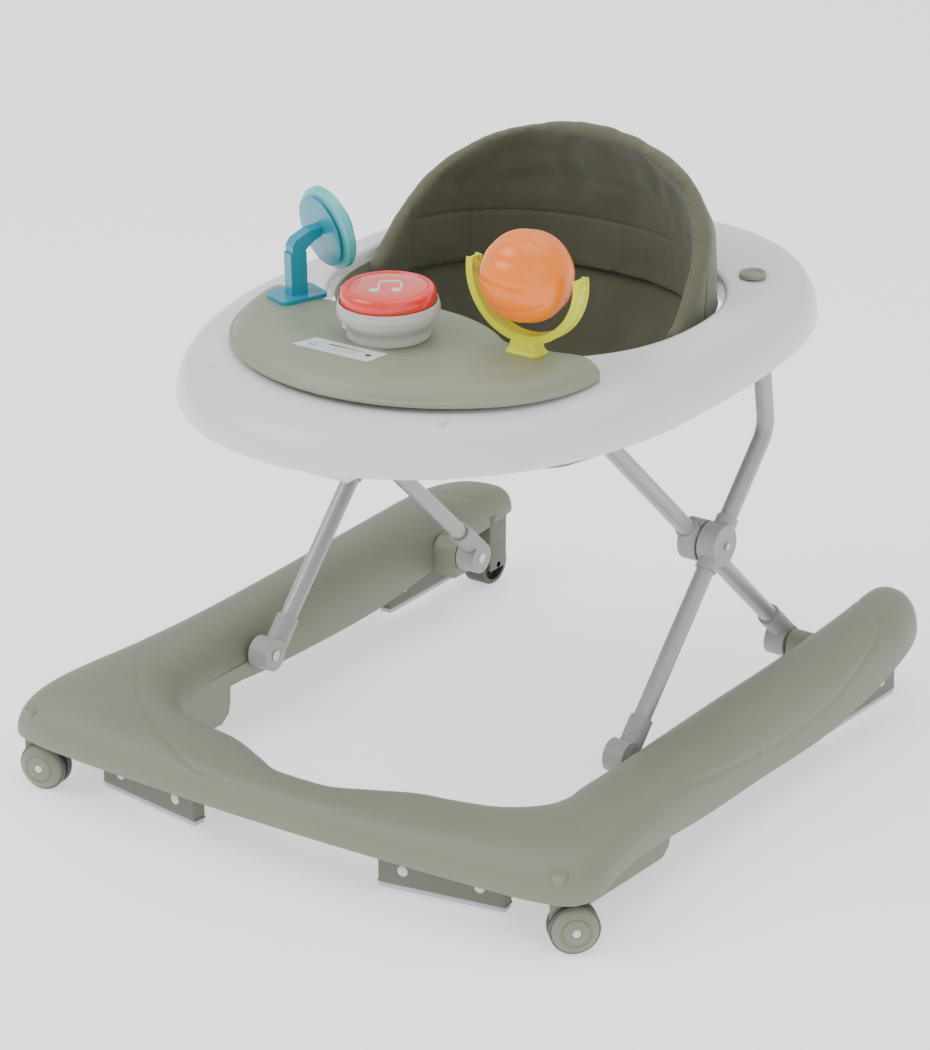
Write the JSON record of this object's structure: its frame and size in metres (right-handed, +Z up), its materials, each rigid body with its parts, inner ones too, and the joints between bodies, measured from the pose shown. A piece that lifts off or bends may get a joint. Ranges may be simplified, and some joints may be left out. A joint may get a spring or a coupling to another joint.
{
  "type": "baby walker",
  "caption": "Baby walker: U-shaped base on casters and fixed rear wheels, folding scissor legs, oval tray with padded seat and clip-on toy tray.",
  "frame": {"origin": "on the floor, under the middle of the base", "axes": "+X to the right seen from the front, +Y to the rear, +Z up; the walker faces -Y"},
  "size_m": [0.6206, 0.6705, 0.5476],
  "materials": {
    "base_plastic": "fine matt moulding texture",
    "toy_tray_plastic": "satin",
    "tray_plastic": "satin white",
    "grey_plastic": "matt",
    "tube_metal": "silver grey powder coat",
    "steel": "zinc plated",
    "seat_fabric": "woven polyester",
    "rubber_grip": "matt",
    "tyre_rubber": "matt",
    "white_plastic": "satin",
    "teal_plastic": "gloss",
    "light_teal_plastic": "gloss",
    "red_plastic": "gloss",
    "orange_plastic": "gloss",
    "yellow_plastic": "gloss"
  },
  "bodies": {
    "base": {"base_shell": "base_plastic", "caster_sockets": "base_plastic", "front_left_stopper": "base_plastic", "front_right_stopper": "base_plastic", "left_rear_leg_mount": "base_plastic", "left_rear_wheel_bracket": "base_plastic", "left_slide_rail": "base_plastic", "rear_axles": "steel", "rear_left_stopper": "base_plastic", "rear_leg_pins": "steel", "rear_right_stopper": "base_plastic", "right_rear_leg_mount": "base_plastic", "right_rear_wheel_bracket": "base_plastic", "right_slide_rail": "base_plastic", "stopper_grips": "rubber_grip", "stopper_pegs": "white_plastic"},
    "rear_legs": {"left_inner_pivot_clamp": "grey_plastic", "left_rear_foot": "grey_plastic", "rear_leg_frame": "tube_metal", "right_inner_pivot_clamp": "grey_plastic", "right_rear_foot": "grey_plastic"},
    "front_legs": {"front_slide_pins": "steel", "left_front_foot": "grey_plastic", "left_front_leg": "tube_metal", "left_outer_pivot_clamp": "grey_plastic", "pivot_rivets": "steel", "right_front_foot": "grey_plastic", "right_front_leg": "tube_metal", "right_outer_pivot_clamp": "grey_plastic"},
    "tray": {"latch_housing": "tray_plastic", "left_hinge_bracket": "tray_plastic", "left_slide_track": "tray_plastic", "left_tray_plug": "toy_tray_plastic", "right_hinge_bracket": "tray_plastic", "right_slide_track": "tray_plastic", "right_tray_plug": "toy_tray_plastic", "seat_back": "seat_fabric", "seat_sling": "seat_fabric", "tray_hinge_pins": "steel", "tray_shell": "tray_plastic"},
    "latch_catch": {"latch_catch": "tray_plastic"},
    "toy_tray": {"toy_tray": "toy_tray_plastic", "drum_body": "grey_plastic", "mirror_stem": "teal_plastic", "ball_fork": "yellow_plastic"},
    "drum_button": {"drum_button": "red_plastic"},
    "drum_switch": {"drum_switch": "grey_plastic"},
    "mirror_disc": {"mirror_disc": "teal_plastic", "mirror_face": "light_teal_plastic", "mirror_knob": "teal_plastic"},
    "spin_ball": {"spin_ball": "orange_plastic"},
    "left_caster": {"left_caster_fork": "base_plastic"},
    "left_caster_wheel": {"left_caster_wheel": "tyre_rubber", "left_caster_covers": "base_plastic"},
    "left_rear_wheel": {"left_rear_wheel": "tyre_rubber"},
    "right_caster": {"right_caster_fork": "base_plastic"},
    "right_caster_wheel": {"right_caster_wheel": "tyre_rubber", "right_caster_covers": "base_plastic"},
    "right_rear_wheel": {"right_rear_wheel": "tyre_rubber"}
  },
  "joints": [
    {"name": "fold", "type": "hinge", "parent": "base", "child": "rear_legs", "pos_m": [0, 0.2162, 0.068], "axis": [1, 0, 0], "range_deg": [0, 24]},
    {"name": "scissor", "type": "hinge", "parent": "rear_legs", "child": "front_legs", "pos_m": [0, 0.0665, 0.2177], "axis": [1, 0, 0], "range_deg": [-50, 0]},
    {"name": "tray_pivot", "type": "hinge", "parent": "front_legs", "child": "tray", "pos_m": [0, 0.1342, 0.3755], "axis": [1, 0, 0], "range_deg": [0, 33]},
    {"name": "latch_pull", "type": "slide", "parent": "tray", "child": "latch_catch", "axis": [0, -1, 0], "range_m": [0, 0.008], "stiffness_N_per_m": 300, "springref_m": -0.004},
    {"name": "toy_tray_lift", "type": "slide", "parent": "tray", "child": "toy_tray", "axis": [0, 0, 1], "range_m": [0, 0.08]},
    {"name": "drum_press", "type": "slide", "parent": "toy_tray", "child": "drum_button", "axis": [0, 0.03, -0.9996], "range_m": [0, 0.003], "stiffness_N_per_m": 600, "springref_m": -0.002},
    {"name": "drum_switch_slide", "type": "slide", "parent": "toy_tray", "child": "drum_switch", "axis": [-0.9397, 0.3419, 0.0103], "range_m": [-0.005, 0.005]},
    {"name": "mirror_spin", "type": "hinge", "parent": "toy_tray", "child": "mirror_disc", "pos_m": [-0.11241, -0.10247, 0.49526], "axis": [0.3677, 0.904, 0.218], "continuous": true},
    {"name": "ball_spin", "type": "hinge", "parent": "toy_tray", "child": "spin_ball", "pos_m": [0.122, -0.12658, 0.50754], "axis": [1, 0, 0], "continuous": true},
    {"name": "left_caster_swivel", "type": "hinge", "parent": "base", "child": "left_caster", "pos_m": [-0.2825, -0.309, 0.06], "axis": [0, 0, 1], "continuous": true},
    {"name": "left_caster_roll", "type": "hinge", "parent": "left_caster", "child": "left_caster_wheel", "pos_m": [-0.27068, -0.30692, 0.022], "axis": [0.1736, -0.9848, 0], "continuous": true},
    {"name": "left_rear_roll", "type": "hinge", "parent": "base", "child": "left_rear_wheel", "pos_m": [-0.222, 0.305, 0.0215], "axis": [1, 0, 0], "continuous": true},
    {"name": "right_caster_swivel", "type": "hinge", "parent": "base", "child": "right_caster", "pos_m": [0.2825, -0.309, 0.06], "axis": [0, 0, 1], "continuous": true},
    {"name": "right_caster_roll", "type": "hinge", "parent": "right_caster", "child": "right_caster_wheel", "pos_m": [0.29098, -0.30051, 0.022], "axis": [0.7071, -0.7071, 0], "continuous": true},
    {"name": "right_rear_roll", "type": "hinge", "parent": "base", "child": "right_rear_wheel", "pos_m": [0.222, 0.305, 0.0215], "axis": [1, 0, 0], "continuous": true}
  ],
  "couplings": [
    {"joint": "scissor", "follows": "fold", "ratio": -2},
    {"joint": "tray_pivot", "follows": "fold", "ratio": 1.3}
  ]
}
